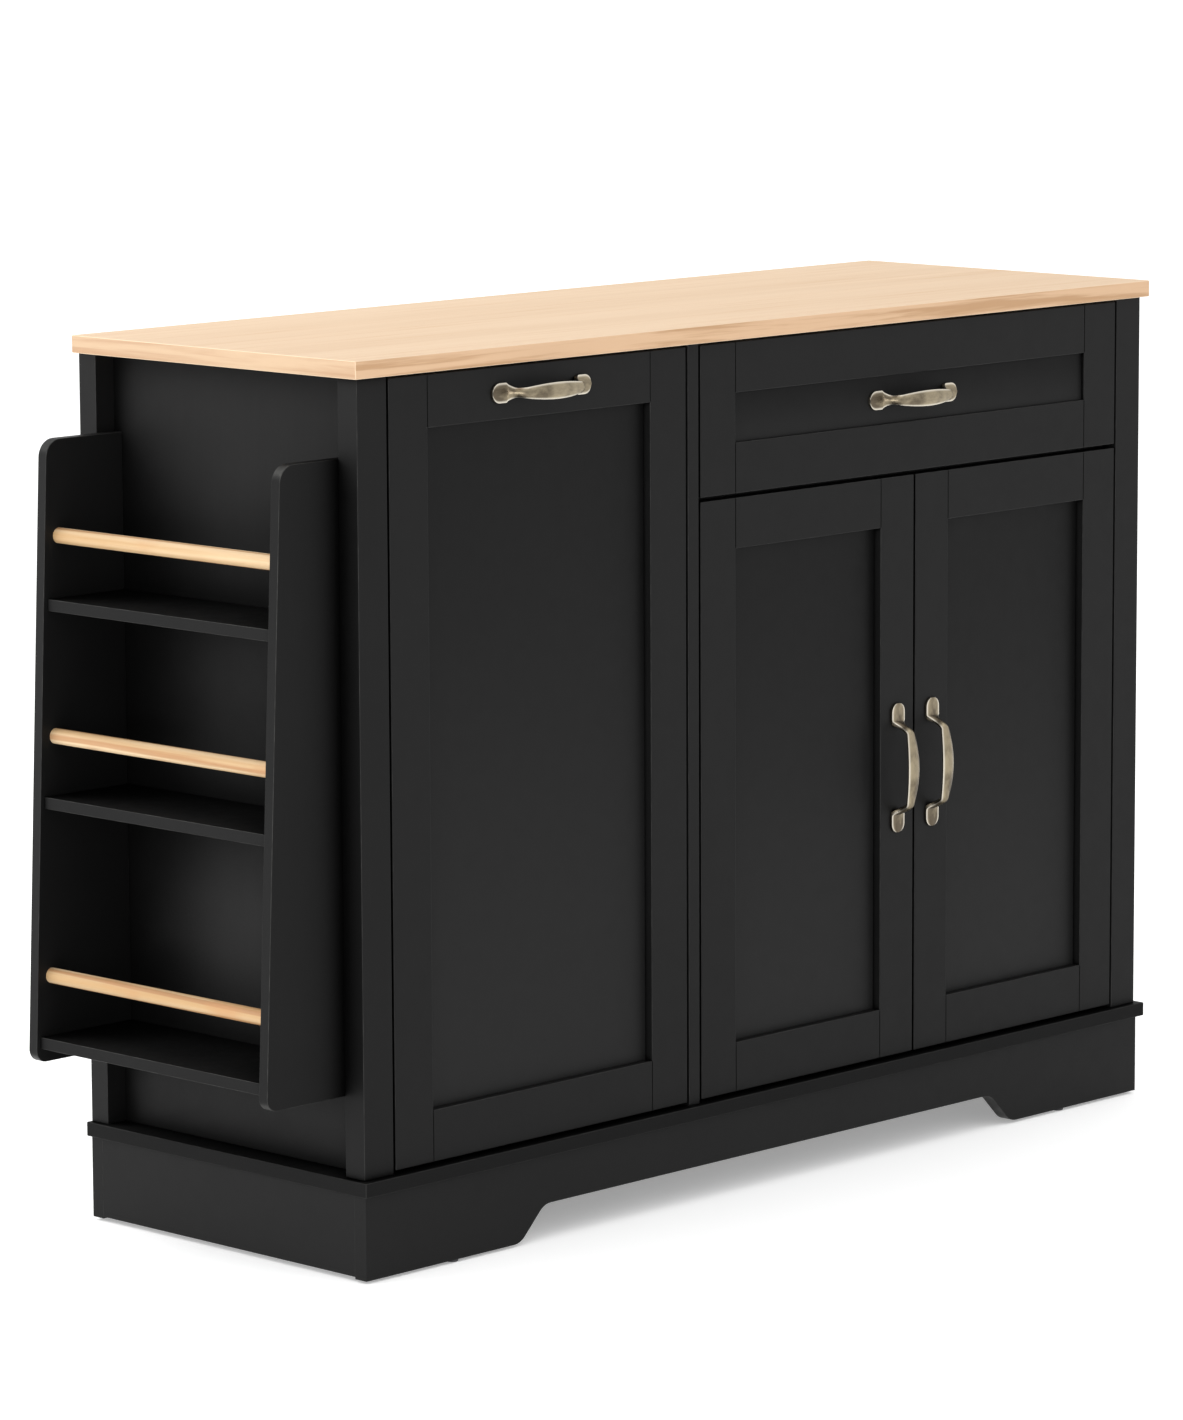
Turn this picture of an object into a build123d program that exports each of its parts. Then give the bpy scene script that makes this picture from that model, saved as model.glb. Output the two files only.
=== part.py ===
"""Kitchen island with a pull-out bin bay, a drawer, a two-door cupboard and a spice rack.

Millimetres, +Z up, the fronts face -Y and the spice rack hangs on the -X end.
The origin is the middle of the overall footprint, at floor level.
"""

import os
from build123d import *

os.makedirs("parts", exist_ok=True)

# ---------------------------------------------------------------- driving dimensions

CABINET_WIDTH = 1202.0
CABINET_DEPTH = 405.0
COUNTER_HEIGHT = 917.0

WORKTOP_THICK = 18.0
WORKTOP_OVER_FRONT = 7.0
WORKTOP_OVER_SIDE = 8.0
WORKTOP_OVER_BACK = 1.5

GLIDE_HEIGHT = 3.0
GLIDE_RADIUS = 6.5
GLIDE_FROM_CENTRE = 475.0
PLINTH_TOP = 89.0
PLINTH_THICK = 16.0
PLINTH_PROUD = 2.0
PLINTH_SIDE_PROUD = 1.0
PLINTH_SIDE_LIFT = 2.0
ARCH_HALF_TOP = 350.0
ARCH_HALF_FOOT = 385.0
ARCH_HEIGHT = 35.0
ARCH_RADIUS = 22.0

BASE_THICK = 15.0
BASE_OVER_FRONT = 9.0
BASE_OVER_SIDE = 7.0
BASE_OVER_BACK = 0.5

POST_WIDTH = 40.0
FRONT_POST_DEPTH = 27.0
BACK_POST_DEPTH = 25.0
PANEL_THICK = 16.0
PARTITION_CENTRE = -123.5
BACK_SHEET_THICK = 6.0
BACK_SHEET_INSET = 12.5
BACK_STILE_WIDTH = 40.0
RAIL_THICK = 16.0
RAIL_DEPTH = 60.0
RAIL_SETBACK = 1.0

FRONT_THICK = 18.0
FRAME_WIDTH = 53.0
GROOVE_DEPTH = 8.0
GROOVE_WIDTH = 6.0
GROOVE_PLAY = 0.1
DOOR_RECESS = 10.0
DRAWER_RECESS = 4.0
SIDE_GAP = 3.0
TOP_GAP = 2.5
BOTTOM_GAP = 3.5
DRAWER_FRONT_HEIGHT = 157.5
DRAWER_DOOR_GAP = 4.5

BOX_THICK = 12.0
BOX_DEPTH = 335.0
BOX_HEIGHT = 120.0
BOX_BOTTOM_THICK = 6.0
BOX_BOTTOM_LIFT = 10.0
DRAWER_BOX_LIFT = 13.0
BIN_BOX_LIFT = 8.0

SLIDE_LENGTH = 350.0
SLIDE_SPACE = 12.7
SLIDE_SHEET = 1.2

HINGE_FROM_END = 100.0
CUP_RADIUS = 17.5
CUP_DEPTH = 11.5
CUP_FROM_EDGE = 22.5

SHELF_TOP = 423.0
SHELF_FRONT = 32.0
PIN_RADIUS = 2.5
PIN_LENGTH = 18.0
PIN_IN_WALL = 8.0
PIN_PITCH = 64.0
PIN_FROM_FRONT = 70.0
PIN_FROM_BACK = 50.0

RACK_BOTTOM = 186.0
RACK_TOP = 819.0
RACK_REACH_BOTTOM = 105.5
RACK_REACH_TOP = 77.5
RACK_THICK = 12.0
RACK_TOP_RADIUS = 19.0
RACK_BOTTOM_RADIUS = 13.0
RACK_SHELF_TOPS = {"bottom": 212.5, "middle": 458.0, "top": 658.5}
RACK_SHELF_INSET = 4.5
DOWEL_HEIGHTS = (274.0, 518.5, 721.5)
DOWEL_RADIUS = 8.0
DOWEL_INSET = 19.0
DOWEL_SOCKET = 6.0

PULL_REACH = 27.0
PULL_THICK = 5.0
PULL_CREST = PULL_REACH - PULL_THICK / 2
PULL_BOW = 4.5
PULL_NECK = 38.0
PULL_BAR_END = 55.0
PULL_GRIP_STEPS = 5
PULL_NECK_SHARES = (0.28, 0.5, 0.72, 1.0)
PULL_WIDTH = 16.5
PULL_WAIST = 8.5
PULL_TOE = 2.2
PULL_TOE_WIDTH = 13.0
PULL_EDGE_SHARE = 0.36
PULL_FOOT_CENTRE = 60.5
PULL_FOOT_LENGTH = 19.0
PULL_FOOT_WIDTH = 20.0
PULL_FOOT_RADIUS = 8.5
PULL_FOOT_THICK = 2.8
PULL_FOOT_EASE = 1.2

EASE = 0.8
FINE_EASE = 0.6
FRAME_EASE = 1.1

# ---------------------------------------------------------------- planes of the cabinet

OVERALL_FRONT = CABINET_DEPTH / 2 + PULL_REACH
OVERALL_BACK = CABINET_DEPTH / 2 + WORKTOP_OVER_BACK
OVERALL_LEFT = CABINET_WIDTH / 2 + RACK_REACH_BOTTOM
OVERALL_RIGHT = CABINET_WIDTH / 2 + WORKTOP_OVER_SIDE
CENTRE_X = (OVERALL_LEFT - OVERALL_RIGHT) / 2
CENTRE_Y = (OVERALL_FRONT - OVERALL_BACK) / 2

LEFT = CENTRE_X - CABINET_WIDTH / 2
RIGHT = CENTRE_X + CABINET_WIDTH / 2
FRONT = CENTRE_Y - CABINET_DEPTH / 2
BACK = CENTRE_Y + CABINET_DEPTH / 2

BASE_TOP = PLINTH_TOP + BASE_THICK
CARCASS_TOP = COUNTER_HEIGHT - WORKTOP_THICK
CARCASS_Z = (BASE_TOP, CARCASS_TOP)

INNER_LEFT = LEFT + POST_WIDTH
INNER_RIGHT = RIGHT - POST_WIDTH
PARTITION_LEFT = CENTRE_X + PARTITION_CENTRE - PANEL_THICK / 2
PARTITION_RIGHT = PARTITION_LEFT + PANEL_THICK
SIDE_PANEL_FACE = INNER_LEFT - PANEL_THICK
BACK_SHEET_Y = (BACK - BACK_SHEET_INSET, BACK - BACK_SHEET_INSET + BACK_SHEET_THICK)

FRONT_Y = (FRONT, FRONT + FRONT_THICK)
RAIL_Y = (FRONT_Y[1] + RAIL_SETBACK, FRONT_Y[1] + RAIL_SETBACK + RAIL_DEPTH)
DOOR_BOTTOM = BASE_TOP + BOTTOM_GAP
FRONTS_TOP = CARCASS_TOP - TOP_GAP
DRAWER_FRONT_BOTTOM = FRONTS_TOP - DRAWER_FRONT_HEIGHT
DOOR_TOP = DRAWER_FRONT_BOTTOM - DRAWER_DOOR_GAP
DRAWER_RAIL_Z = (
    DOOR_TOP + DRAWER_DOOR_GAP / 2 - RAIL_THICK / 2,
    DOOR_TOP + DRAWER_DOOR_GAP / 2 + RAIL_THICK / 2,
)

BIN_FRONT_X = (INNER_LEFT + SIDE_GAP, PARTITION_LEFT - SIDE_GAP)
DRAWER_FRONT_X = (PARTITION_RIGHT + SIDE_GAP, INNER_RIGHT - SIDE_GAP)
DOORS_MEET = (DRAWER_FRONT_X[0] + DRAWER_FRONT_X[1]) / 2
LEFT_DOOR_X = (DRAWER_FRONT_X[0], DOORS_MEET - SIDE_GAP / 2)
RIGHT_DOOR_X = (DOORS_MEET + SIDE_GAP / 2, DRAWER_FRONT_X[1])
HINGE_HEIGHTS = (DOOR_BOTTOM + HINGE_FROM_END, DOOR_TOP - HINGE_FROM_END)
PIN_HEIGHT = SHELF_TOP - PANEL_THICK - PIN_RADIUS

SLIDE_Y = (FRONT_Y[1] + 2 * RAIL_SETBACK, FRONT_Y[1] + 2 * RAIL_SETBACK + SLIDE_LENGTH)
BOX_Y = (FRONT_Y[1], FRONT_Y[1] + BOX_DEPTH)
BIN_BOX_Z = (BASE_TOP + BIN_BOX_LIFT, BASE_TOP + BIN_BOX_LIFT + BOX_HEIGHT)
DRAWER_BOX_BOTTOM = DRAWER_FRONT_BOTTOM + DRAWER_BOX_LIFT
DRAWER_BOX_Z = (DRAWER_BOX_BOTTOM, DRAWER_BOX_BOTTOM + BOX_HEIGHT)

RACK_FRONT_Y = FRONT + FRONT_POST_DEPTH
RACK_BACK_Y = BACK - BACK_POST_DEPTH
RACK_INSIDE_Y = (RACK_FRONT_Y + RACK_THICK, RACK_BACK_Y - RACK_THICK)


# ---------------------------------------------------------------- helpers


def middle(span):
    """Centre of a (low, high) pair."""
    return (span[0] + span[1]) / 2


def block(x, y, z, mode=Mode.ADD):
    """A rectangular block between three (low, high) pairs, in the part being built."""
    with Locations((middle(x), middle(y), middle(z))):
        Box(x[1] - x[0], y[1] - y[0], z[1] - z[0], mode=mode)


def finish(piece, name):
    """Label a finished piece and write it."""
    piece.part.label = name
    export_step(piece.part, f"parts/{name}.step")


def board(name, *blocks, ease=EASE):
    """One or more plain boards with eased edges, each given as (x, y, z) pairs."""
    with BuildPart() as piece:
        for x, y, z in blocks:
            block(x, y, z)
        fillet(piece.edges(), radius=ease)
    finish(piece, name)


def facing_back(y):
    """Plane at depth y whose sketches read X and Z; extrusions run towards the front."""
    return Plane.XZ.offset(-y)


# ---------------------------------------------------------------- worktop and carcass


def worktop():
    board(
        "worktop",
        (
            (LEFT - WORKTOP_OVER_SIDE, RIGHT + WORKTOP_OVER_SIDE),
            (FRONT - WORKTOP_OVER_FRONT, BACK + WORKTOP_OVER_BACK),
            (CARCASS_TOP, COUNTER_HEIGHT),
        ),
        ease=1.2,
    )


def posts():
    front_y = (FRONT, FRONT + FRONT_POST_DEPTH)
    back_y = (BACK - BACK_POST_DEPTH, BACK)
    left_x = (LEFT, INNER_LEFT)
    right_x = (INNER_RIGHT, RIGHT)
    board("front_left_post", (left_x, front_y, CARCASS_Z))
    board("front_right_post", (right_x, front_y, CARCASS_Z))
    board("back_left_post", (left_x, back_y, CARCASS_Z))
    board("back_right_post", (right_x, back_y, CARCASS_Z))


def side_panels():
    y = (FRONT + FRONT_POST_DEPTH, BACK - BACK_POST_DEPTH)
    board("left_side_panel", ((SIDE_PANEL_FACE, INNER_LEFT), y, CARCASS_Z), ease=FINE_EASE)
    with BuildPart() as right_side_panel:
        block((INNER_RIGHT, INNER_RIGHT + PANEL_THICK), y, CARCASS_Z)
        fillet(right_side_panel.edges(), radius=FINE_EASE)
        shelf_pin_holes(INNER_RIGHT, 1)
    finish(right_side_panel, "right_side_panel")


def pins_along_x(x, heights, length, mode=Mode.ADD):
    """Round pins, or their holes, centred on x in the front and back rows of the cupboard."""
    depths = (FRONT + PIN_FROM_FRONT, BACK_SHEET_Y[0] - PIN_FROM_BACK)
    with Locations(*[(x, y, z) for y in depths for z in heights]):
        Cylinder(PIN_RADIUS, length, rotation=(0, 90, 0), mode=mode)


def shelf_pin_holes(face_x, direction):
    """Three heights of blind holes, bored from face_x along +X or -X."""
    heights = (PIN_HEIGHT - PIN_PITCH, PIN_HEIGHT, PIN_HEIGHT + PIN_PITCH)
    pins_along_x(face_x + direction * PIN_IN_WALL / 2, heights, PIN_IN_WALL, Mode.SUBTRACT)


def partition():
    with BuildPart() as centre_partition:
        block((PARTITION_LEFT, PARTITION_RIGHT), (FRONT, BACK_SHEET_Y[0]), CARCASS_Z)
        fillet(centre_partition.edges(), radius=EASE)
        shelf_pin_holes(PARTITION_RIGHT, -1)
    finish(centre_partition, "centre_partition")


def base_board():
    board(
        "base_board",
        (
            (LEFT - BASE_OVER_SIDE, RIGHT + BASE_OVER_SIDE),
            (FRONT - BASE_OVER_FRONT, BACK + BASE_OVER_BACK),
            (PLINTH_TOP, BASE_TOP),
        ),
        ease=1.2,
    )


def back():
    """Two thin sheets meet behind the partition, under a flat stile."""
    meet = CENTRE_X + PARTITION_CENTRE
    board(
        "back_sheets",
        ((INNER_LEFT, meet - 0.5), BACK_SHEET_Y, CARCASS_Z),
        ((meet + 0.5, INNER_RIGHT), BACK_SHEET_Y, CARCASS_Z),
        ease=0.3,
    )
    stile_x = (meet - BACK_STILE_WIDTH / 2, meet + BACK_STILE_WIDTH / 2)
    board("back_centre_stile", (stile_x, (BACK_SHEET_Y[1], BACK), CARCASS_Z))


def rails():
    """Flat rails that hold the carcass together under the worktop, and the one below the drawer."""
    z = (CARCASS_TOP - RAIL_THICK, CARCASS_TOP)
    back_y = (BACK_SHEET_Y[0] - RAIL_DEPTH, BACK_SHEET_Y[0])
    bin_bay_x = (INNER_LEFT, PARTITION_LEFT)
    drawer_bay_x = (PARTITION_RIGHT, INNER_RIGHT)
    board("front_top_rails", (bin_bay_x, RAIL_Y, z), (drawer_bay_x, RAIL_Y, z))
    board("back_top_rails", (bin_bay_x, back_y, z), (drawer_bay_x, back_y, z))
    board("drawer_rail", (drawer_bay_x, RAIL_Y, DRAWER_RAIL_Z))


def shelf():
    board(
        "cupboard_shelf",
        (
            (PARTITION_RIGHT + 1.0, INNER_RIGHT - 1.0),
            (FRONT_Y[1] + SHELF_FRONT, BACK_SHEET_Y[0] - 2.0),
            (SHELF_TOP - PANEL_THICK, SHELF_TOP),
        ),
    )
    from_face = PIN_LENGTH / 2 - PIN_IN_WALL
    with BuildPart() as shelf_pins:
        pins_along_x(PARTITION_RIGHT + from_face, [PIN_HEIGHT], PIN_LENGTH)
        pins_along_x(INNER_RIGHT - from_face, [PIN_HEIGHT], PIN_LENGTH)
    finish(shelf_pins, "shelf_pins")


# ---------------------------------------------------------------- plinth


def plinth():
    """Front board with an arched cut-out between two bracket feet, plain boards elsewhere."""
    x = (LEFT - PLINTH_SIDE_PROUD, RIGHT + PLINTH_SIDE_PROUD)
    front_y = (FRONT - PLINTH_PROUD, FRONT - PLINTH_PROUD + PLINTH_THICK)
    back_y = (BACK - PLINTH_THICK - BASE_OVER_BACK, BACK - BASE_OVER_BACK)
    side_y = (front_y[1], back_y[0])
    foot_z = (GLIDE_HEIGHT, PLINTH_TOP)
    side_z = (GLIDE_HEIGHT + PLINTH_SIDE_LIFT, PLINTH_TOP)

    with BuildPart() as plinth_front:
        with BuildSketch(facing_back(front_y[1])):
            with Locations((middle(x), middle(foot_z))):
                Rectangle(x[1] - x[0], foot_z[1] - foot_z[0])
            with BuildSketch(mode=Mode.SUBTRACT) as arch:
                with Locations((CENTRE_X, GLIDE_HEIGHT)):
                    Polygon(
                        (-ARCH_HALF_FOOT, 0),
                        (-ARCH_HALF_TOP, ARCH_HEIGHT),
                        (ARCH_HALF_TOP, ARCH_HEIGHT),
                        (ARCH_HALF_FOOT, 0),
                        align=None,
                    )
                fillet(arch.vertices().group_by(Axis.Y)[-1], radius=ARCH_RADIUS)
        extrude(amount=PLINTH_THICK)
        toes = plinth_front.edges().filter_by(Axis.Y).group_by(Axis.Z)[0].sort_by(Axis.X)[1:-1]
        fillet(toes, radius=ARCH_RADIUS)
    finish(plinth_front, "plinth_front")

    board("plinth_back", (x, back_y, foot_z))
    board("plinth_left", ((x[0], x[0] + PLINTH_THICK), side_y, side_z))
    board("plinth_right", ((x[1] - PLINTH_THICK, x[1]), side_y, side_z))
    brace_x = (CENTRE_X - PLINTH_THICK / 2, CENTRE_X + PLINTH_THICK / 2)
    board("plinth_brace", (brace_x, side_y, (GLIDE_HEIGHT + ARCH_HEIGHT + 7.0, PLINTH_TOP)))

    block_size = 32.0
    inner_x = (x[0] + PLINTH_THICK, x[1] - PLINTH_THICK)
    block_z = (GLIDE_HEIGHT + 8.0, PLINTH_TOP)
    corner_blocks = [
        (block_x, block_y, block_z)
        for block_x in ((inner_x[0], inner_x[0] + block_size), (inner_x[1] - block_size, inner_x[1]))
        for block_y in ((side_y[0], side_y[0] + block_size), (side_y[1] - block_size, side_y[1]))
    ]
    board("plinth_corner_blocks", *corner_blocks)

    with BuildPart() as floor_glides:
        with BuildSketch(Plane.XY):
            with Locations(
                (CENTRE_X - GLIDE_FROM_CENTRE, middle(front_y)),
                (CENTRE_X + GLIDE_FROM_CENTRE, middle(front_y)),
                (CENTRE_X - GLIDE_FROM_CENTRE, middle(back_y)),
                (CENTRE_X + GLIDE_FROM_CENTRE, middle(back_y)),
            ):
                Circle(GLIDE_RADIUS)
        extrude(amount=GLIDE_HEIGHT)
        fillet(floor_glides.edges().group_by(Axis.Z)[0], radius=1.0)
    finish(floor_glides, "floor_glides")


# ---------------------------------------------------------------- spice rack


def rack_edge(z):
    """X of the rack sides' outer edge at height z: the boards taper towards the top."""
    share = (z - RACK_BOTTOM) / (RACK_TOP - RACK_BOTTOM)
    return LEFT - RACK_REACH_BOTTOM - share * (RACK_REACH_TOP - RACK_REACH_BOTTOM)


def dowel_places():
    return [(rack_edge(z) + DOWEL_INSET, z) for z in DOWEL_HEIGHTS]


def rack_side(name, back_y, socket_plane, socket_direction):
    """One tapered side board with rounded outer corners and sockets for the dowels."""
    with BuildPart() as side:
        with BuildSketch(facing_back(back_y)) as outline:
            Polygon(
                (SIDE_PANEL_FACE, RACK_BOTTOM),
                (rack_edge(RACK_BOTTOM), RACK_BOTTOM),
                (rack_edge(RACK_TOP), RACK_TOP),
                (SIDE_PANEL_FACE, RACK_TOP),
                align=None,
            )
            fillet(outline.vertices().group_by(Axis.Y)[0].sort_by(Axis.X)[0], radius=RACK_BOTTOM_RADIUS)
            fillet(outline.vertices().group_by(Axis.Y)[-1].sort_by(Axis.X)[0], radius=RACK_TOP_RADIUS)
        extrude(amount=RACK_THICK)
        fillet(side.faces().filter_by(Axis.Y).edges(), radius=EASE)
        with BuildSketch(socket_plane):
            with Locations(*dowel_places()):
                Circle(DOWEL_RADIUS + GROOVE_PLAY)
        extrude(amount=socket_direction * DOWEL_SOCKET, mode=Mode.SUBTRACT)
    finish(side, name)


def spice_rack():
    front_inner, back_inner = RACK_INSIDE_Y
    rack_side("rack_front_side", front_inner, facing_back(front_inner), 1)
    rack_side("rack_back_side", RACK_BACK_Y, facing_back(back_inner), -1)
    for level, top in RACK_SHELF_TOPS.items():
        x = (rack_edge(top) + RACK_SHELF_INSET, SIDE_PANEL_FACE)
        board(f"rack_{level}_shelf", (x, RACK_INSIDE_Y, (top - RACK_THICK, top)))
    with BuildPart() as rack_dowels:
        with BuildSketch(facing_back(back_inner + DOWEL_SOCKET)):
            with Locations(*dowel_places()):
                Circle(DOWEL_RADIUS)
        extrude(amount=back_inner - front_inner + 2 * DOWEL_SOCKET)
    finish(rack_dowels, "rack_dowels")


# ---------------------------------------------------------------- framed fronts


def framed_front(name, x, z, recess, cup_x=None):
    """Two stiles and two rails, grooved all round for a thin panel set back by recess."""
    groove_y = (FRONT + recess, FRONT + recess + GROOVE_WIDTH)
    inner_x = (x[0] + FRAME_WIDTH, x[1] - FRAME_WIDTH)
    inner_z = (z[0] + FRAME_WIDTH, z[1] - FRAME_WIDTH)
    groove_x = (inner_x[0] - GROOVE_DEPTH, inner_x[1] + GROOVE_DEPTH)
    groove_z = (inner_z[0] - GROOVE_DEPTH, inner_z[1] + GROOVE_DEPTH)
    tongue_y = (groove_y[0] + GROOVE_PLAY, groove_y[1] - GROOVE_PLAY)

    with BuildPart() as stiles:
        block((x[0], inner_x[0]), FRONT_Y, z)
        block((inner_x[1], x[1]), FRONT_Y, z)
        fillet(stiles.edges(), radius=FRAME_EASE)
        block(groove_x, groove_y, z, mode=Mode.SUBTRACT)
        if cup_x is not None:
            with BuildSketch(facing_back(FRONT_Y[1])):
                with Locations(*[(cup_x, height) for height in HINGE_HEIGHTS]):
                    Circle(CUP_RADIUS + 2 * GROOVE_PLAY)
            extrude(amount=CUP_DEPTH, mode=Mode.SUBTRACT)
    finish(stiles, f"{name}_stiles")

    with BuildPart() as rails_pair:
        block(inner_x, FRONT_Y, (z[0], inner_z[0]))
        block(inner_x, FRONT_Y, (inner_z[1], z[1]))
        fillet(rails_pair.edges(), radius=FRAME_EASE)
        for rail_z in ((z[0], inner_z[0]), (inner_z[1], z[1])):
            tongue_z = (rail_z[0] + FRAME_EASE, rail_z[1] - FRAME_EASE)
            block((groove_x[0] + 0.5, groove_x[1] - 0.5), tongue_y, tongue_z)
        block(groove_x, groove_y, groove_z, mode=Mode.SUBTRACT)
    finish(rails_pair, f"{name}_rails")

    with BuildPart() as panel:
        panel_x = (groove_x[0] + 0.5, groove_x[1] - 0.5)
        block(panel_x, tongue_y, (groove_z[0] + 0.5, groove_z[1] - 0.5))
    finish(panel, f"{name}_panel")


# ---------------------------------------------------------------- bar pulls

def pull_station(along):
    """Height, slope, width and thickness of the bar at a place along it.

    The grip is a shallow bow between two necks; each neck falls in an S to its foot.
    """
    outward = 1 if along >= 0 else -1
    share = min(abs(along) / PULL_NECK, 1)
    fall = max((abs(along) - PULL_NECK) / (PULL_BAR_END - PULL_NECK), 0)
    step = fall * fall * (3 - 2 * fall)
    steepness = 6 * fall * (1 - fall) / (PULL_BAR_END - PULL_NECK)
    thick = PULL_THICK - (PULL_THICK - PULL_FOOT_THICK) * fall
    crest = PULL_CREST - PULL_BOW * share**2
    height = crest * (1 - step) + PULL_TOE * step
    slope = -outward * (steepness * (crest - PULL_TOE) + (1 - fall) * 2 * PULL_BOW * share / PULL_NECK)
    waist = PULL_WAIST + (PULL_WIDTH - PULL_WAIST) * (1 - share**2)
    width = waist + (PULL_TOE_WIDTH - PULL_WAIST) * fall**2
    return height, slope, width, thick


def bar_pull(name, host):
    """Arched pull on two paddle feet; host lies on the mounting face, its X along the pull.

    The bar is a flattened lens in section, crowned front and back with narrow flat edges.
    """
    grip = [PULL_NECK * i / PULL_GRIP_STEPS for i in range(PULL_GRIP_STEPS + 1)]
    neck = [PULL_NECK + (PULL_BAR_END - PULL_NECK) * share for share in PULL_NECK_SHARES]
    half_bar = grip + neck
    stations = [-along for along in half_bar[:0:-1]] + half_bar
    with BuildPart() as pull:
        with BuildSketch(host):
            with Locations((-PULL_FOOT_CENTRE, 0), (PULL_FOOT_CENTRE, 0)):
                RectangleRounded(PULL_FOOT_LENGTH, PULL_FOOT_WIDTH, PULL_FOOT_RADIUS)
        extrude(amount=PULL_FOOT_THICK)
        fillet(pull.edges().group_by(Axis(host.origin, host.z_dir))[-1], radius=PULL_FOOT_EASE)
        for along in stations:
            height, slope, width, thick = pull_station(along)
            tangent = host.x_dir + host.z_dir * slope
            centre = host.from_local_coords((along, 0, height))
            half, edge = width / 2, PULL_EDGE_SHARE * thick / 2
            with BuildSketch(Plane(origin=centre, x_dir=host.y_dir, z_dir=tangent)):
                with BuildLine():
                    ThreePointArc((-half, edge), (0, thick / 2), (half, edge))
                    Line((half, edge), (half, -edge))
                    ThreePointArc((half, -edge), (0, -thick / 2), (-half, -edge))
                    Line((-half, -edge), (-half, edge))
                make_face()
        loft()
    finish(pull, name)


def pull_host(x, y, z, upright):
    """Mounting plane facing -Y: the pull lies along X, or along Z when upright."""
    return Plane(origin=(x, y, z), x_dir=(0, 0, 1) if upright else (1, 0, 0), z_dir=(0, -1, 0))


# ---------------------------------------------------------------- boxes, slides and hinges


def open_box(name, x, z):
    """Drawer box: grooved sides, grooved ends between them, and a thin bottom in the grooves."""
    bottom_z = (z[0] + BOX_BOTTOM_LIFT, z[0] + BOX_BOTTOM_LIFT + BOX_BOTTOM_THICK)
    slot_z = (bottom_z[0] - GROOVE_PLAY, bottom_z[1] + GROOVE_PLAY)
    inner_x = (x[0] + BOX_THICK, x[1] - BOX_THICK)
    inner_y = (BOX_Y[0] + BOX_THICK, BOX_Y[1] - BOX_THICK)
    half = BOX_THICK / 2
    slot_x = (inner_x[0] - half, inner_x[1] + half)
    slot_y = (inner_y[0] - half, inner_y[1] + half)

    with BuildPart() as sides:
        block((x[0], inner_x[0]), BOX_Y, z)
        block((inner_x[1], x[1]), BOX_Y, z)
        fillet(sides.edges(), radius=FINE_EASE)
        block(slot_x, slot_y, slot_z, mode=Mode.SUBTRACT)
    finish(sides, f"{name}_sides")

    with BuildPart() as ends:
        block(inner_x, (BOX_Y[0], inner_y[0]), z)
        block(inner_x, (inner_y[1], BOX_Y[1]), z)
        fillet(ends.edges(), radius=FINE_EASE)
        block(slot_x, slot_y, slot_z, mode=Mode.SUBTRACT)
    finish(ends, f"{name}_ends")

    with BuildPart() as bottom:
        play = 2 * GROOVE_PLAY
        block((slot_x[0] + play, slot_x[1] - play), (slot_y[0] + play, slot_y[1] - play), bottom_z)
    finish(bottom, f"{name}_bottom")


def channel(wall_x, direction, web, lip, half_height, centre_z):
    """Sheet-metal channel along Y: web and lip are its distances from the wall."""
    web_x = sorted((wall_x + direction * web, wall_x + direction * (web + SLIDE_SHEET)))
    flange_x = sorted((wall_x + direction * web, wall_x + direction * lip))
    if lip < web:
        flange_x = sorted((wall_x + direction * (web + SLIDE_SHEET), wall_x + direction * lip))
    block(web_x, SLIDE_Y, (centre_z - half_height, centre_z + half_height))
    block(flange_x, SLIDE_Y, (centre_z + half_height - SLIDE_SHEET, centre_z + half_height))
    block(flange_x, SLIDE_Y, (centre_z - half_height, centre_z - half_height + SLIDE_SHEET))


# Each slide is three nested channels: web, lip and half height.
CABINET_CHANNEL = (0.0, 9.0, 22.5)
MIDDLE_CHANNEL = (3.5, 10.4, 20.5)
BOX_CHANNEL = (SLIDE_SPACE - SLIDE_SHEET, 6.0, 18.1)


def slide_pair(name, profile, *bays):
    """The same channel on both walls of each bay; a bay is (wall pair, slide height)."""
    with BuildPart() as members:
        for walls, height in bays:
            channel(walls[0], 1, *profile, height)
            channel(walls[1], -1, *profile, height)
    finish(members, name)


def hinge_cups(name, cup_x):
    """Two pressed cups with fixing flanges, sunk in the back of a door's stile."""
    with BuildPart() as cups:
        for height in HINGE_HEIGHTS:
            with BuildSketch(facing_back(FRONT_Y[1])):
                with Locations((cup_x, height)):
                    Circle(CUP_RADIUS)
            extrude(amount=CUP_DEPTH - 2 * GROOVE_PLAY)
            with BuildSketch(facing_back(FRONT_Y[1] + SLIDE_SHEET)):
                with Locations((cup_x, height)):
                    Circle(CUP_RADIUS + 2.0)
                    RectangleRounded(16.0, 58.0, 6.0)
            extrude(amount=SLIDE_SHEET)
            with BuildSketch(facing_back(FRONT_Y[1] + SLIDE_SHEET)):
                with Locations((cup_x, height)):
                    Circle(CUP_RADIUS - 2.0)
            extrude(amount=CUP_DEPTH - 1.0, mode=Mode.SUBTRACT)
    finish(cups, name)


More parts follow.
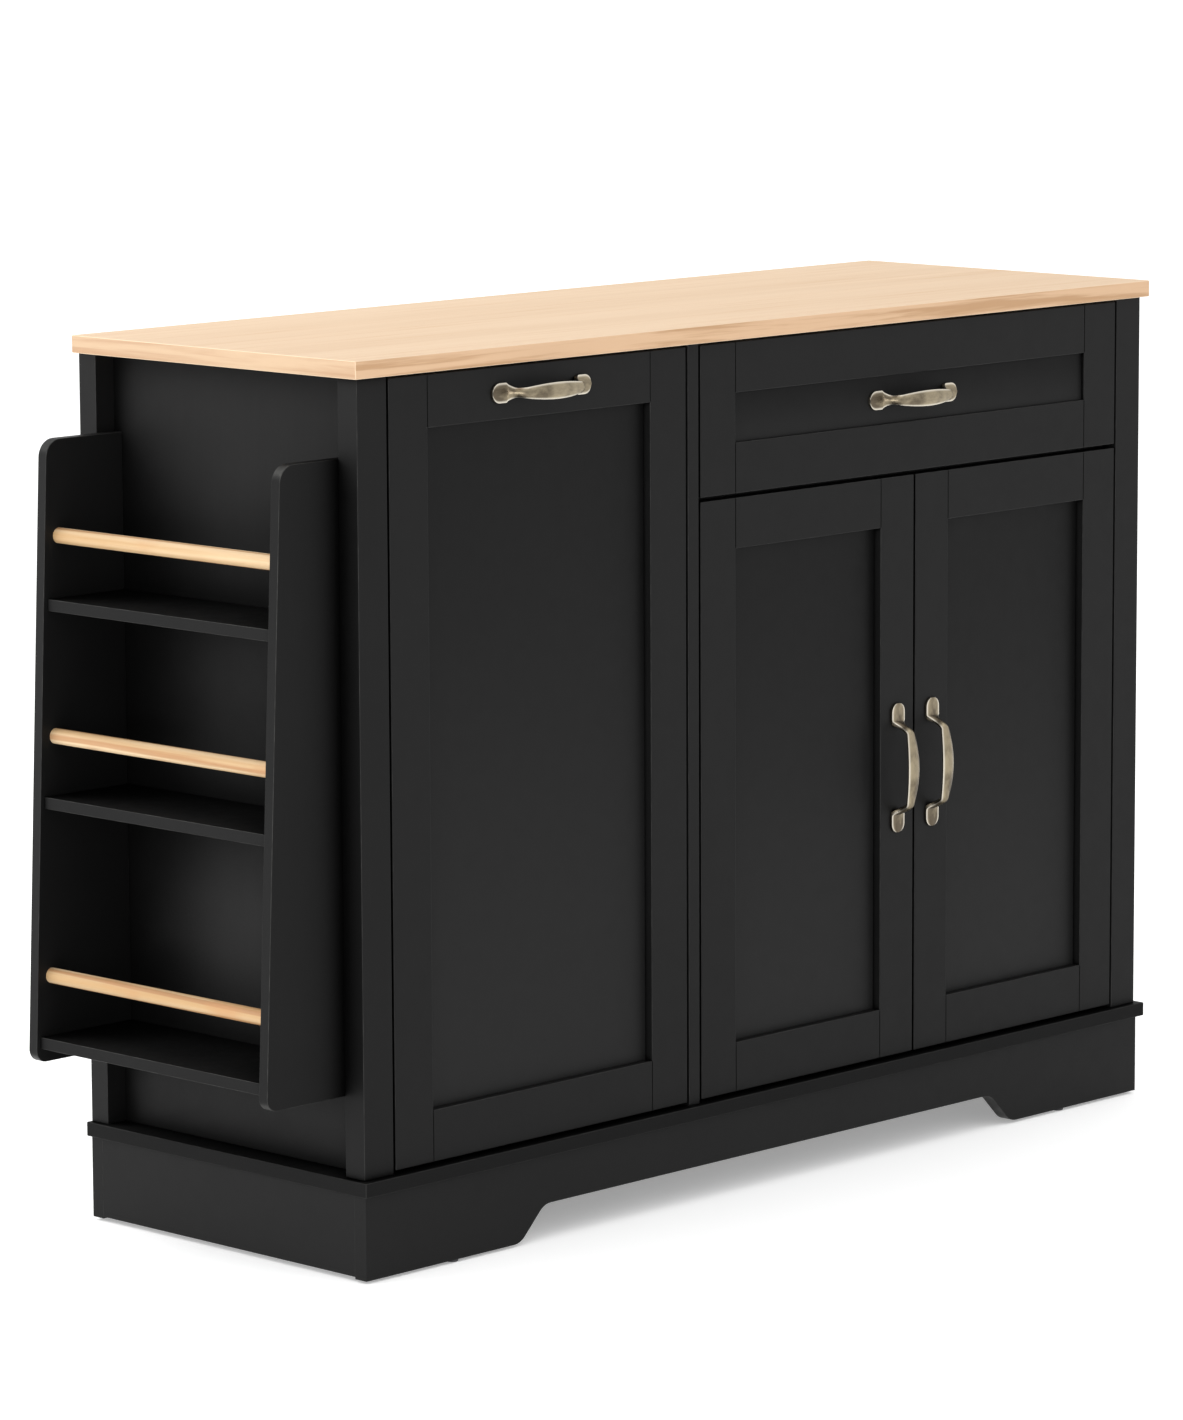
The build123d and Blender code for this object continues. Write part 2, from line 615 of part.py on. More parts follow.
def hinge_arms():
    """Mounting plate and cranked arm of each hinge, on the walls beside the doors."""
    door_back = FRONT_Y[1]
    with BuildPart() as arms:
        for wall, direction in ((PARTITION_RIGHT, 1), (INNER_RIGHT, -1)):
            plate_x = sorted((wall, wall + direction * 3.0))
            arm_x = sorted((wall + direction * 3.0, wall + direction * 9.0))
            crank_x = sorted((wall + direction * 3.0, wall + direction * 31.0))
            nose_x = sorted((wall + direction * 20.0, wall + direction * 31.0))
            for height in HINGE_HEIGHTS:
                block(plate_x, (door_back + 30.0, door_back + 78.0), (height - 10.0, height + 10.0))
                block(plate_x, (door_back + 46.0, door_back + 60.0), (height - 26.0, height + 26.0))
                block(arm_x, (door_back + 2.0, door_back + 72.0), (height - 7.5, height + 7.5))
                block(crank_x, (door_back + 2.0, door_back + 9.0), (height - 7.5, height + 7.5))
                block(nose_x, (door_back - 3.0, door_back + 2.0), (height - 6.0, height + 6.0))
    finish(arms, "hinge_arms")


def magnetic_catch():
    """Twin magnet under the drawer rail, where the two doors meet."""
    board(
        "magnetic_catch",
        (
            (DOORS_MEET - 24.0, DOORS_MEET + 24.0),
            (RAIL_Y[0] + 0.5, RAIL_Y[0] + 18.5),
            (DRAWER_RAIL_Z[0] - 13.0, DRAWER_RAIL_Z[0]),
        ),
    )


# ---------------------------------------------------------------- the whole island

worktop()
posts()
side_panels()
partition()
base_board()
back()
rails()
shelf()
plinth()
spice_rack()

bin_bay = (INNER_LEFT, PARTITION_LEFT)
cupboard_bay = (PARTITION_RIGHT, INNER_RIGHT)
bin_slide_height = middle(BIN_BOX_Z)
drawer_slide_height = middle(DRAWER_BOX_Z)
bin_slides = (bin_bay, bin_slide_height)
drawer_slides = (cupboard_bay, drawer_slide_height)
slide_pair("cabinet_slide_members", CABINET_CHANNEL, bin_slides, drawer_slides)
hinge_arms()
magnetic_catch()

framed_front("bin_front", BIN_FRONT_X, (DOOR_BOTTOM, FRONTS_TOP), DOOR_RECESS)
open_box("bin_box", (bin_bay[0] + SLIDE_SPACE, bin_bay[1] - SLIDE_SPACE), BIN_BOX_Z)
slide_pair("bin_slide_members", BOX_CHANNEL, bin_slides)
slide_pair("bin_middle_members", MIDDLE_CHANNEL, bin_slides)
bin_handle_z = FRONTS_TOP - FRAME_WIDTH / 2
bar_pull("bin_handle", pull_host(middle(BIN_FRONT_X), FRONT, bin_handle_z, upright=False))

drawer_front_z = (DRAWER_FRONT_BOTTOM, FRONTS_TOP)
framed_front("drawer_front", DRAWER_FRONT_X, drawer_front_z, DRAWER_RECESS)
open_box("drawer_box", (cupboard_bay[0] + SLIDE_SPACE, cupboard_bay[1] - SLIDE_SPACE), DRAWER_BOX_Z)
slide_pair("drawer_slide_members", BOX_CHANNEL, drawer_slides)
slide_pair("drawer_middle_members", MIDDLE_CHANNEL, drawer_slides)
drawer_face = FRONT + DRAWER_RECESS + GROOVE_PLAY
bar_pull("drawer_handle", pull_host(DOORS_MEET, drawer_face, middle(drawer_front_z), upright=False))

door_z = (DOOR_BOTTOM, DOOR_TOP)
left_cup_x = LEFT_DOOR_X[0] + CUP_FROM_EDGE
right_cup_x = RIGHT_DOOR_X[1] - CUP_FROM_EDGE
left_pull_x = LEFT_DOOR_X[1] - FRAME_WIDTH / 2
right_pull_x = RIGHT_DOOR_X[0] + FRAME_WIDTH / 2
framed_front("left_door", LEFT_DOOR_X, door_z, DOOR_RECESS, left_cup_x)
framed_front("right_door", RIGHT_DOOR_X, door_z, DOOR_RECESS, right_cup_x)
hinge_cups("left_door_hinge_cups", left_cup_x)
hinge_cups("right_door_hinge_cups", right_cup_x)
bar_pull("left_door_handle", pull_host(left_pull_x, FRONT, middle(door_z), upright=True))
bar_pull("right_door_handle", pull_host(right_pull_x, FRONT, middle(door_z), upright=True))
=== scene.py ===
"""Looks for the kitchen island: painted boards, a veneered worktop, pine dowels and antique brass pulls."""

from math import cos, pi, radians, sin, sqrt

import bmesh
import bpy
from mathutils import Matrix, Vector


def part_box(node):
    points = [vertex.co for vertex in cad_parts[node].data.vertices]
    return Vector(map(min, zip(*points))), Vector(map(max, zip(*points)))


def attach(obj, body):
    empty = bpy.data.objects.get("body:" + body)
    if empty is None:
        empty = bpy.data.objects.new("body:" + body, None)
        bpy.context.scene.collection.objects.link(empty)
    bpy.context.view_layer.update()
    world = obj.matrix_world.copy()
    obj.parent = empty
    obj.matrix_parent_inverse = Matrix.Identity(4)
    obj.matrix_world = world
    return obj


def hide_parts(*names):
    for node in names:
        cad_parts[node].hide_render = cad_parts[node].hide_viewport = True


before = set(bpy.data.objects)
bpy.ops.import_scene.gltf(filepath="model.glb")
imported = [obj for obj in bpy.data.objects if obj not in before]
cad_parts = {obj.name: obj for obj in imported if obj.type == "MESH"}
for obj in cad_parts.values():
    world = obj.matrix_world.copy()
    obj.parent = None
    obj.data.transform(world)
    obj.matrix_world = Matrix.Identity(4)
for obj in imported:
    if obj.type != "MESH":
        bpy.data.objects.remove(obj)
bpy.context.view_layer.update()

MM = 0.001


def hue(code):
    """A linear colour from a hex code as seen on a screen."""
    shades = [int(code[i : i + 2], 16) / 255 for i in (0, 2, 4)]
    linear = [((s + 0.055) / 1.055) ** 2.4 if s > 0.04 else s / 12.92 for s in shades]
    return (*linear, 1.0)


# ---------------------------------------------------------------- places, mostly read from the frame


def low(node):
    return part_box(node)[0]


def high(node):
    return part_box(node)[1]


def centre(node):
    return (low(node) + high(node)) / 2


FRONT_BACK = high("left_door_stiles").y
LEFT_WALL = high("centre_partition").x
RIGHT_WALL = low("front_right_post").x
PLY_THICK = 12 * MM
BIN_WALLS = (high("front_left_post").x, low("centre_partition").x)

# ---------------------------------------------------------------- camera


def make_camera():
    """The long-lens view from the front left, a little above the worktop."""
    stand = Vector((-4.67625, -4.47955, 1.49910))
    yaw, pitch, roll = radians(46.046), radians(-8.843), radians(-0.2674)
    ahead = Vector((sin(yaw) * cos(pitch), cos(yaw) * cos(pitch), sin(pitch)))
    level = Vector((cos(yaw), -sin(yaw), 0))
    upright = level.cross(ahead)
    right = level * cos(roll) + upright * sin(roll)
    up = upright * cos(roll) - level * sin(roll)
    data = bpy.data.cameras.new("camera")
    data.sensor_width = 36.0
    data.lens = 156.48
    data.clip_end = 200.0
    camera = bpy.data.objects.new("camera", data)
    camera.matrix_world = Matrix.Translation(stand) @ Matrix((right, up, -ahead)).transposed().to_4x4()
    bpy.context.scene.collection.objects.link(camera)
    bpy.context.scene.camera = camera


# ---------------------------------------------------------------- node tree helper


class Look:
    """A material, with short calls that add nodes and wire them."""

    def __init__(self, name, roughness=0.5, metallic=0.0):
        self.material = bpy.data.materials.new(name)
        self.material.use_nodes = True
        self.tree = self.material.node_tree
        self.surface = self.tree.nodes["Principled BSDF"]
        self.surface.inputs["Roughness"].default_value = roughness
        self.surface.inputs["Metallic"].default_value = metallic
        self.coords = self.tree.nodes.new("ShaderNodeTexCoord")
        self.here = self.coords.outputs["Object"]

    def wire(self, node, values):
        for key, value in values.items():
            if isinstance(value, bpy.types.NodeSocket):
                self.tree.links.new(value, node.inputs[key])
            else:
                node.inputs[key].default_value = value
        return node

    def add(self, kind, values, **settings):
        node = self.tree.nodes.new(kind)
        for key, value in settings.items():
            setattr(node, key, value)
        return self.wire(node, values)

    def set(self, **sockets):
        names = {key.replace("_", " ").title().replace("Ior", "IOR"): v for key, v in sockets.items()}
        self.wire(self.surface, names)

    def stretch(self, scale, source=None, offset=(0, 0, 0)):
        values = {"Vector": source or self.here, "Scale": scale, "Location": offset}
        return self.add("ShaderNodeMapping", values).outputs["Vector"]

    def noise(self, vector, scale, detail=2.0, roughness=0.5, distortion=0.0):
        values = {"Vector": vector, "Scale": scale, "Detail": detail, "Roughness": roughness}
        values["Distortion"] = distortion
        return self.add("ShaderNodeTexNoise", values).outputs["Fac"]

    def wave(self, vector, scale, distortion, detail_scale):
        """Bands across X."""
        values = {"Vector": vector, "Scale": scale, "Distortion": distortion, "Detail": 3.0}
        values["Detail Scale"] = detail_scale
        node = self.add("ShaderNodeTexWave", values, wave_type="BANDS", bands_direction="X")
        return node.outputs["Fac"]

    def maths(self, kind, a, b=0.0):
        return self.add("ShaderNodeMath", {0: a, 1: b}, operation=kind).outputs[0]

    def span(self, value, start, end, low_value=0.0, high_value=1.0):
        """value from start..end, eased and clamped to low_value..high_value."""
        values = {0: value, 1: start, 2: end, 3: low_value, 4: high_value}
        node = self.add("ShaderNodeMapRange", values, interpolation_type="SMOOTHSTEP")
        return node.outputs["Result"]

    def blend(self, share, a, b):
        """A colour between a and b."""
        node = self.add("ShaderNodeMix", {}, data_type="RGBA")
        self.wire(node, {0: share, 6: a, 7: b})
        return node.outputs[2]

    def pick(self, share, a, b):
        """A number between a and b."""
        node = self.add("ShaderNodeMix", {0: share, 2: a, 3: b}, data_type="FLOAT")
        return node.outputs[0]

    def split(self, vector):
        return self.add("ShaderNodeSeparateXYZ", {0: vector}).outputs

    def join(self, x, y, z):
        return self.add("ShaderNodeCombineXYZ", {0: x, 1: y, 2: z}).outputs[0]

    def facing(self):
        """How far the surface faces along each axis, 0 to 1."""
        return [self.maths("ABSOLUTE", part) for part in self.split(self.coords.outputs["Normal"])]

    def arris(self):
        """1 on eased edges between flat faces, 0 on the faces themselves."""
        x, y, z = self.facing()
        flattest = self.maths("MAXIMUM", self.maths("MAXIMUM", x, y), z)
        return self.span(flattest, 0.99, 0.82)

    def corner_shade(self, reach):
        """Painted shade mask from ambient occlusion: 1 deep in a corner between boards, 0 where nothing
        stands within reach.
        """
        node = self.add("ShaderNodeAmbientOcclusion", {"Distance": reach}, samples=8)
        return self.span(node.outputs["AO"], 0.98, 0.48)

    def raise_by(self, height, distance, strength=1.0, under=None):
        values = {"Height": height, "Distance": distance, "Strength": strength}
        if under is not None:
            values["Normal"] = under
        return self.add("ShaderNodeBump", values).outputs["Normal"]

    def attribute(self, name):
        return self.add("ShaderNodeAttribute", {}, attribute_name=name).outputs["Fac"]


# ---------------------------------------------------------------- materials

ALONG = {"x": (0.03, 1.0, 1.0), "y": (1.0, 0.03, 1.0), "z": (1.0, 1.0, 0.03)}


def black_paint(
    name, axis, shades, worn_shade="494948", wear=0.5, gloss=0.1, painted_shade_heights=None, corners=0.0, reach=0.11
):
    """Satin black lacquer over close-grained board; the grain just telegraphs through along axis.

    shades are its darker and lighter tones; the next two arguments give the tone and strength of its
    lighter edges, rubbed wear together with a painted highlight along the arrises. Where two heights are
    given, painted shade makes it lighter at the first and darker at the second. corners is how much painted
    shade darkens it within reach of a corner between boards.
    """
    look = Look(name)
    along = look.stretch(ALONG[axis])
    clouds = look.noise(look.here, 5.0, 3.0)
    streaks = look.noise(along, 260.0, 4.0, 0.6)
    peel = look.noise(look.here, 900.0, 2.0)
    rub = look.noise(look.here, 55.0, 5.0, 0.7)
    tone = clouds
    # Painted shade: between the two given heights the lacquer goes from lighter to darker, as light falls
    # on the board.
    if painted_shade_heights is not None:
        height_shade = look.span(look.split(look.here)[2], painted_shade_heights[1], painted_shade_heights[0])
        tone = look.maths("ADD", look.maths("MULTIPLY", clouds, 0.25), look.maths("MULTIPLY", height_shade, 0.75))
    body = look.blend(tone, hue(shades[0]), hue(shades[1]))
    streak_share = 0.2 if painted_shade_heights is None else 0.05
    body = look.blend(look.span(streaks, 0.35, 0.8, 0.0, streak_share), body, hue(shades[1]))
    # Lighter arrises: rubbed wear together with a painted highlight along the edges.
    worn = look.maths("MULTIPLY", look.arris(), look.span(rub, 0.38, 0.68, 0.35, 1.0))
    colour = look.blend(look.maths("MULTIPLY", worn, wear), body, hue(worn_shade))
    # Painted shade: near-black in corners and recesses, where ambient occlusion finds nearby boards.
    if corners:
        colour = look.blend(look.maths("MULTIPLY", look.corner_shade(reach), corners), colour, hue("020202"))
    satin = look.span(look.maths("ADD", look.maths("MULTIPLY", clouds, 0.6), rub), 0.4, 1.2, 0.4, 0.54)
    grain = look.raise_by(streaks, 0.0001, 0.3)
    look.set(
        base_color=colour,
        roughness=look.pick(worn, satin, 0.34),
        specular_ior_level=gloss,
        normal=look.raise_by(peel, 0.00003, 0.6, grain),
    )
    return look.material


def joint_shade():
    """Near-black matte mottle: painted shade for the bottom of a joint."""
    look = Look("joint_shade", roughness=0.9)
    mottle = look.noise(look.here, 400.0, 3.0)
    colour = look.blend(look.span(mottle, 0.4, 0.7), hue("020202"), hue("0a0a09"))
    look.set(base_color=colour, specular_ior_level=0.0, normal=look.raise_by(mottle, 0.00005, 0.4))
    return look.material


def veneer():
    """Pale straight-grained veneer; the edge bands run their grain along each edge."""
    look = Look("pale_veneer")
    x, y, z = look.split(look.here)
    face_x, face_y, face_z = look.facing()
    end = look.span(face_x, 0.6, 0.8)
    run = look.pick(end, x, y)
    cross = look.pick(end, y, x)
    board = look.join(look.maths("MULTIPLY", run, 0.035), cross, z)
    wide = look.noise(board, 16.0, 3.0, 0.55, 0.4)
    figure = look.noise(look.stretch((1, 1, 1), board, (3.1, 7.7, 1.9)), 95.0, 4.0, 0.62, 0.25)
    fine = look.noise(board, 520.0, 3.0, 0.6)
    pores = look.noise(look.join(look.maths("MULTIPLY", run, 0.09), cross, z), 1500.0, 1.0)
    colour = look.blend(look.span(wide, 0.25, 0.75), hue("cbb093"), hue("d2b99d"))
    colour = look.blend(look.span(figure, 0.5, 0.78, 0.0, 0.35), colour, hue("b98e66"))
    colour = look.blend(look.span(fine, 0.55, 0.8, 0.0, 0.25), colour, hue("bf9870"))
    pore = look.span(pores, 0.68, 0.8, 0.0, 0.4)
    colour = look.blend(pore, colour, hue("a37c56"))
    side = look.span(face_z, 0.75, 0.5)
    long_band = look.blend(look.span(figure, 0.42, 0.6), hue("cba887"), hue("b08a66"))
    end_band = look.blend(look.span(figure, 0.4, 0.65), hue("b1987d"), hue("9f8065"))
    banding = look.blend(end, long_band, end_band)
    colour = look.blend(look.maths("MULTIPLY", side, 0.85), colour, banding)
    colour = look.blend(look.maths("MULTIPLY", look.arris(), 0.5), colour, hue("e6d0b4"))
    height = look.maths("SUBTRACT", look.maths("MULTIPLY", fine, 0.5), pore)
    look.set(
        base_color=colour,
        roughness=look.span(figure, 0.3, 0.8, 0.56, 0.66),
        specular_ior_level=0.1,
        normal=look.raise_by(height, 0.00008, 0.5),
    )
    return look.material


def pine():
    """Sanded pine rod: pale wood with straight brown growth lines along Y."""
    look = Look("pine_rod")
    along = look.stretch((1.0, 0.022, 1.0))
    rings = look.wave(along, 42.0, 3.5, 2.2)
    tone = look.noise(along, 60.0, 3.0, 0.5, 0.3)
    fibre = look.noise(look.stretch((1.0, 0.02, 1.0)), 1400.0, 3.0)
    patch = look.noise(look.stretch((1.0, 0.35, 1.0)), 26.0, 2.0)
    colour = look.blend(look.span(tone, 0.35, 0.65), hue("c6ae8c"), hue("a8885f"))
    colour = look.blend(look.span(rings, 0.55, 0.9, 0.0, 0.7), colour, hue("92653d"))
    colour = look.blend(look.span(fibre, 0.5, 0.85, 0.0, 0.25), colour, hue("ab7a45"))
    colour = look.blend(look.span(patch, 0.52, 0.7, 0.0, 0.5), colour, hue("a87a50"))
    look.set(
        base_color=colour,
        roughness=look.span(fibre, 0.3, 0.7, 0.5, 0.62),
        specular_ior_level=0.35,
        normal=look.raise_by(fibre, 0.00008, 0.4),
    )
    return look.material


def antique_brass():
    """Brushed antique brass: dull olive faces, bright rubbed rims, brush lines along the pull."""
    look = Look("antique_brass", metallic=1.0)
    rim = look.attribute("rim")
    hollow = look.attribute("dip")
    brush = look.noise(look.stretch((0.03, 1.0, 1.0)), 2600.0, 3.0, 0.6)
    patina = look.noise(look.stretch((0.6, 1.0, 1.0)), 62.0, 3.0, 0.55)
    aged = look.maths("ADD", look.span(patina, 0.36, 0.66, 0.0, 0.75), look.maths("MULTIPLY", hollow, 0.45))
    colour = look.blend(look.maths("MINIMUM", aged, 1.0), hue("a4987f"), hue("574e41"))
    colour = look.blend(look.span(brush, 0.35, 0.75, 0.0, 0.4), colour, hue("7a7060"))
    # Painted reflection: the flanks of the bar darkened as if mirroring the dark cabinet beside them.
    flank_dark_reflection = look.span(look.facing()[1], 0.55, 0.95, 0.0, 0.6)
    colour = look.blend(look.maths("MULTIPLY", look.span(rim, 0.7, 0.98), 0.8), colour, hue("ddd6c8"))
    colour = look.blend(flank_dark_reflection, colour, hue("4a4339"))
    look.set(
        base_color=colour,
        roughness=look.span(brush, 0.2, 0.8, 0.24, 0.42),
        normal=look.raise_by(brush, 0.00004, 0.6),
    )
    return look.material


def zinc_steel():
    """Zinc-plated pressed steel with a faint spangle and drawing lines along Y."""
    look = Look("zinc_steel", metallic=1.0)
    lines = look.noise(look.stretch((1.0, 0.02, 1.0)), 1800.0, 2.0)
    spangle = look.add("ShaderNodeTexVoronoi", {"Vector": look.here, "Scale": 260.0}).outputs["Color"]
    cloud = look.noise(look.here, 40.0, 3.0)
    colour = look.blend(look.span(cloud, 0.3, 0.7), hue("b4b6b8"), hue("c9cbcb"))
    colour = look.blend(0.06, colour, spangle)
    look.set(
        base_color=colour,
        roughness=look.span(lines, 0.2, 0.8, 0.26, 0.4),
        normal=look.raise_by(lines, 0.00003, 0.5),
    )
    return look.material


def steel_screw():
    """Bright screws with darker specks."""
    look = Look("steel_screw", metallic=1.0)
    speck = look.noise(look.here, 900.0, 3.0)
    colour = look.blend(look.span(speck, 0.4, 0.75), hue("c3c3c0"), hue("8f8d88"))
    look.set(base_color=colour, roughness=look.span(speck, 0.3, 0.7, 0.22, 0.38))
    return look.material


def moulded_plastic(name, code, roughness):
    """Moulded plastic with a fine leathery skin."""
    look = Look(name)
    skin = look.add("ShaderNodeTexVoronoi", {"Vector": look.here, "Scale": 1500.0}).outputs["Distance"]
    scuff = look.noise(look.here, 120.0, 4.0, 0.7)
    colour = look.blend(look.span(scuff, 0.5, 0.8, 0.0, 0.3), hue(code), hue("77756f"))
    look.set(
        base_color=colour,
        roughness=look.span(scuff, 0.3, 0.8, roughness, roughness + 0.15),
        normal=look.raise_by(skin, 0.00006, 0.4),
    )
    return look.material


def plywood(axis):
    """Lacquered birch ply; its layers show as stripes across the thickness axis on cut edges."""
    look = Look(f"birch_ply_{axis}")
    grain = {"x": "y", "y": "x", "z": "x"}[axis]
    along = look.stretch(ALONG[grain])
    tone = look.noise(along, 24.0, 3.0, 0.5, 0.6)
    fibre = look.noise(along, 420.0, 4.0, 0.6)
    depth = dict(zip("xyz", look.split(look.here)))[axis]
    layer_thick = 1.3 * MM
    facing = dict(zip("xyz", look.facing()))[axis]
    layers = look.maths("PINGPONG", look.maths("MULTIPLY", depth, 1 / layer_thick), 1.0)
    colour = look.blend(look.span(tone, 0.3, 0.7), hue("ead6b2"), hue("dcc093"))
    colour = look.blend(look.span(fibre, 0.55, 0.85, 0.0, 0.35), colour, hue("c39e6b"))
    cut = look.blend(look.span(layers, 0.35, 0.65), hue("d9bd8e"), hue("9c774a"))
    colour = look.blend(look.span(facing, 0.75, 0.4), colour, cut)
    look.set(
        base_color=colour,
        roughness=look.span(fibre, 0.3, 0.8, 0.42, 0.55),
        normal=look.raise_by(fibre, 0.00008, 0.35),
    )
    return look.material


def floor_material():
    """Plain pale studio floor."""
    look = Look("studio_floor", roughness=0.9)
    mottle = look.noise(look.here, 3.0, 2.0)
    look.set(
        base_color=look.blend(mottle, (0.88, 0.88, 0.88, 1), (0.9, 0.9, 0.9, 1)),
        specular_ior_level=0.1,
        emission_color=(1.0, 1.0, 1.0, 1.0),
        emission_strength=0.3,
    )
    return look.material


def paints(name, axes, **finish):
    """One lacquer for each direction that the boards run in."""
    return {axis: black_paint(f"{name}_{axis}", axis, **finish) for axis in axes}


def panel_shaded_paint(name):
    """A recessed panel's lacquer with painted shade: darker towards its top rail, lighter towards its foot.
    """
    return black_paint(
        f"{name}_paint",
        axis="x" if name == "drawer_front_panel" else "z",
        shades=("080808", "1e1e1e"),
        worn_shade="3a3a39",
        wear=0.3,
        gloss=0.07 if name == "drawer_front_panel" else 0.1,
        painted_shade_heights=(low(name).z, high(name).z),
    )


# Painted shade for the bottoms of the stile and rail joints.
JOINT_SHADE = joint_shade()
PAINT = paints("black_paint", "xyz", shades=("111111", "171717"))
# The frames' copy of the main lacquer, with painted shade in the joints and in the corners of the recesses.
FRAME_SHADED_PAINT = paints("frame_paint", "xz", shades=("111111", "171717"), wear=0.35, corners=1.0, reach=6 * MM)
# A lighter, duller copy of the lacquer for the rack, so that painted shade darkens it towards its corners.
RACK_SHADED_PAINT = paints(
    "rack_paint", "yz", shades=("171717", "1e1e1e"), worn_shade="525250", wear=0.6, gloss=0.04, corners=0.97
)
# A duller copy of the lacquer for the ledge, darker face-on, with painted shade on its top beside the
# fronts.
LEDGE_SHADED_PAINT = black_paint(
    "ledge_shaded_paint", "x", ("151515", "1a1a1a"), worn_shade="3a3a39", gloss=0.03, corners=1.0, reach=30 * MM
)
# A copy of the lacquer for the front left post, with painted shade on its face beside the rack.
POST_SHADED_PAINT = black_paint("post_paint", "z", ("191919", "1f1f1f"), gloss=0.045, corners=1.0, reach=70 * MM)
# A copy of the lacquer for the left side, with painted shade: lighter low down, darker higher up and in the
# corners of the rack.
SIDE_SHADED_PAINT = black_paint(
    "side_paint",
    "z",
    shades=("151515", "303030"),
    gloss=0.08,
    painted_shade_heights=(low("left_side_panel").z, high("left_side_panel").z),
    corners=0.97,
    reach=0.15,
)
PLY = {axis: plywood(axis) for axis in "xyz"}
BRASS = antique_brass()
ZINC = zinc_steel()
SCREW = steel_screw()
GLIDE = moulded_plastic("dark_plastic", "26262a", 0.42)
BUFFER = moulded_plastic("clear_buffer", "c9c6be", 0.3)

FRONTS = {
    "pull_out_bin": "bin_front",
    "drawer": "drawer_front",
    "left_door": "left_door",
    "right_door": "right_door",
}

LENGTHWISE = ("_rails", "drawer_rail", "cupboard_shelf", "plinth_front", "plinth_back")
DEPTHWISE = ("plinth_left", "plinth_right", "plinth_brace")


def node_material(name):
    """The finish of a CAD node, with the grain of its boards the right way round."""
    if name == "worktop":
        return veneer()
    if name == "rack_dowels":
        return pine()
    if name.endswith("_handle"):
        return BRASS
    if "members" in name or "hinge" in name or name == "shelf_pins":
        return ZINC
    if name in ("floor_glides", "magnetic_catch"):
        return GLIDE
    if "_box_" in name:
        return PLY[{"sides": "x", "ends": "y", "bottom": "z"}[name.split("_")[-1]]]
    if name.endswith(("_front_rails", "_door_rails")):
        return FRAME_SHADED_PAINT["x"]
    if name.endswith("_stiles"):
        return FRAME_SHADED_PAINT["z"]
    if name.endswith(("_door_panel", "_front_panel")):
        return panel_shaded_paint(name)
    if name == "left_side_panel":
        return SIDE_SHADED_PAINT
    if name == "front_left_post":
        return POST_SHADED_PAINT
    if name == "rack_back_side":
        return PAINT["z"]
    if name == "base_board":
        return LEDGE_SHADED_PAINT
    if name.startswith("rack_"):
        return RACK_SHADED_PAINT["y" if name.endswith("_shelf") else "z"]
    if any(part in name for part in LENGTHWISE):
        return PAINT["x"]
    if any(part in name for part in DEPTHWISE):
        return PAINT["y"]
    return PAINT["z"]


def dress_nodes():
    for name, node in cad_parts.items():
        node.data.materials.clear()
        node.data.materials.append(node_material(name))


# ---------------------------------------------------------------- pieces built as meshes


def place(name, mesh_data, material, body, matrix=None):
    """A finished piece in the scene, riding on a body."""
    piece = bpy.data.objects.new(name, mesh_data)
    bpy.context.scene.collection.objects.link(piece)
    if matrix is not None:
        piece.matrix_world = matrix
    mesh_data.materials.append(material)
    bpy.context.view_layer.update()
    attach(piece, body)
    return piece


def shade(work, angle=32):
    """Smooth faces, with edges kept crisp where they turn by more than angle."""
    for face in work.faces:
        face.smooth = True
    for edge in work.edges:
        turn = edge.calc_face_angle(0.0)
        edge.smooth = turn < radians(angle)


def to_mesh(name, work):
    data = bpy.data.meshes.new(name)
    work.to_mesh(data)
    work.free()
    return data


def spun(profile, turns=28):
    """A solid of revolution about local +Z from (radius, height) points, bottom to top."""
    work = bmesh.new()
    rings = []
    for radius, height in profile:
        if radius == 0:
            rings.append([work.verts.new((0, 0, height))])
            continue
        spokes = [2 * pi * i / turns for i in range(turns)]
        rings.append([work.verts.new((radius * cos(a), radius * sin(a), height)) for a in spokes])
    for below, above in zip(rings, rings[1:]):
        for i in range(turns):
            j = (i + 1) % turns
            corners = [below[i % len(below)], below[j % len(below)]]
            corners += [above[j % len(above)], above[i % len(above)]]
            unique = list(dict.fromkeys(corners))
            if len(unique) > 2:
                work.faces.new(unique)
    if len(rings[0]) > 1:
        work.faces.new(rings[0][::-1])
    if len(rings[-1]) > 1:
        work.faces.new(rings[-1])
    return work


